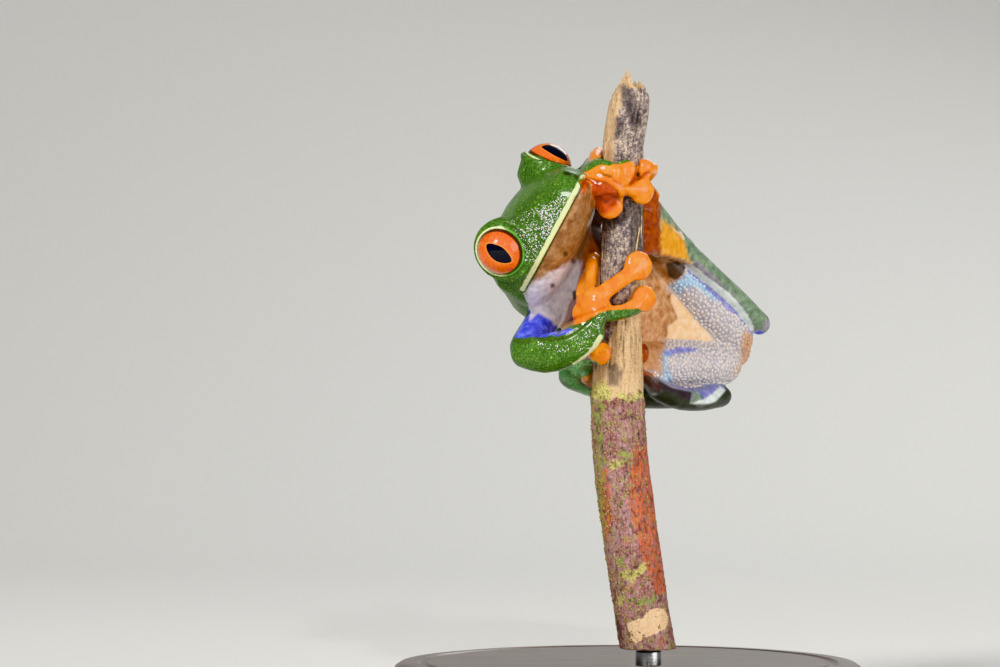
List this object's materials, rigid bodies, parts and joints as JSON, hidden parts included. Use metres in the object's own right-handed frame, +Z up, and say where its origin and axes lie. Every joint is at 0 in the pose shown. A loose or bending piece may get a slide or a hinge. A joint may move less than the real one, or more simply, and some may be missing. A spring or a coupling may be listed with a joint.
{
  "type": "red-eyed tree frog",
  "caption": "Still, life-size tree frog clinging to an upright length of dead stick, on a small round wooden stand.",
  "frame": {"origin": "centre of the underside of the round base, on the surface that the stand rests on", "axes": "+Z up; +Y away from the front, so the frog looks towards -Y; +X to the right seen from the front"},
  "size_m": [0.06, 0.06, 0.0793],
  "materials": {
    "frog_skin": "moist skin: leaf green back, blue and cream flanks, pale belly, orange hands and feet",
    "frog_eye": "wet gloss, orange-red iris with an upright black pupil",
    "perch_bark": "weathered grey wood above, red-brown bark with lichen below",
    "stand_wood": "dark oiled wood",
    "stand_steel": "brushed"
  },
  "bodies": {
    "root": {"head": "frog_skin", "torso": "frog_skin", "upper_arm_left": "frog_skin", "upper_arm_right": "frog_skin", "forearm_left": "frog_skin", "forearm_right": "frog_skin", "hand_left": "frog_skin", "hand_right": "frog_skin", "thigh_left": "frog_skin", "thigh_right": "frog_skin", "shank_left": "frog_skin", "shank_right": "frog_skin", "tarsus_left": "frog_skin", "tarsus_right": "frog_skin", "foot_left": "frog_skin", "foot_right": "frog_skin", "finger_left_1": "frog_skin", "finger_left_2": "frog_skin", "finger_left_3": "frog_skin", "finger_left_4": "frog_skin", "finger_right_1": "frog_skin", "finger_right_2": "frog_skin", "finger_right_3": "frog_skin", "finger_right_4": "frog_skin", "toe_left_1": "frog_skin", "toe_left_2": "frog_skin", "toe_left_3": "frog_skin", "toe_left_4": "frog_skin", "toe_left_5": "frog_skin", "toe_right_1": "frog_skin", "toe_right_2": "frog_skin", "toe_right_3": "frog_skin", "toe_right_4": "frog_skin", "toe_right_5": "frog_skin", "eye_left": "frog_eye", "eye_right": "frog_eye", "perch_stick": "perch_bark", "stand_base": "stand_wood", "stand_rod": "stand_steel"}
  },
  "joints": []
}
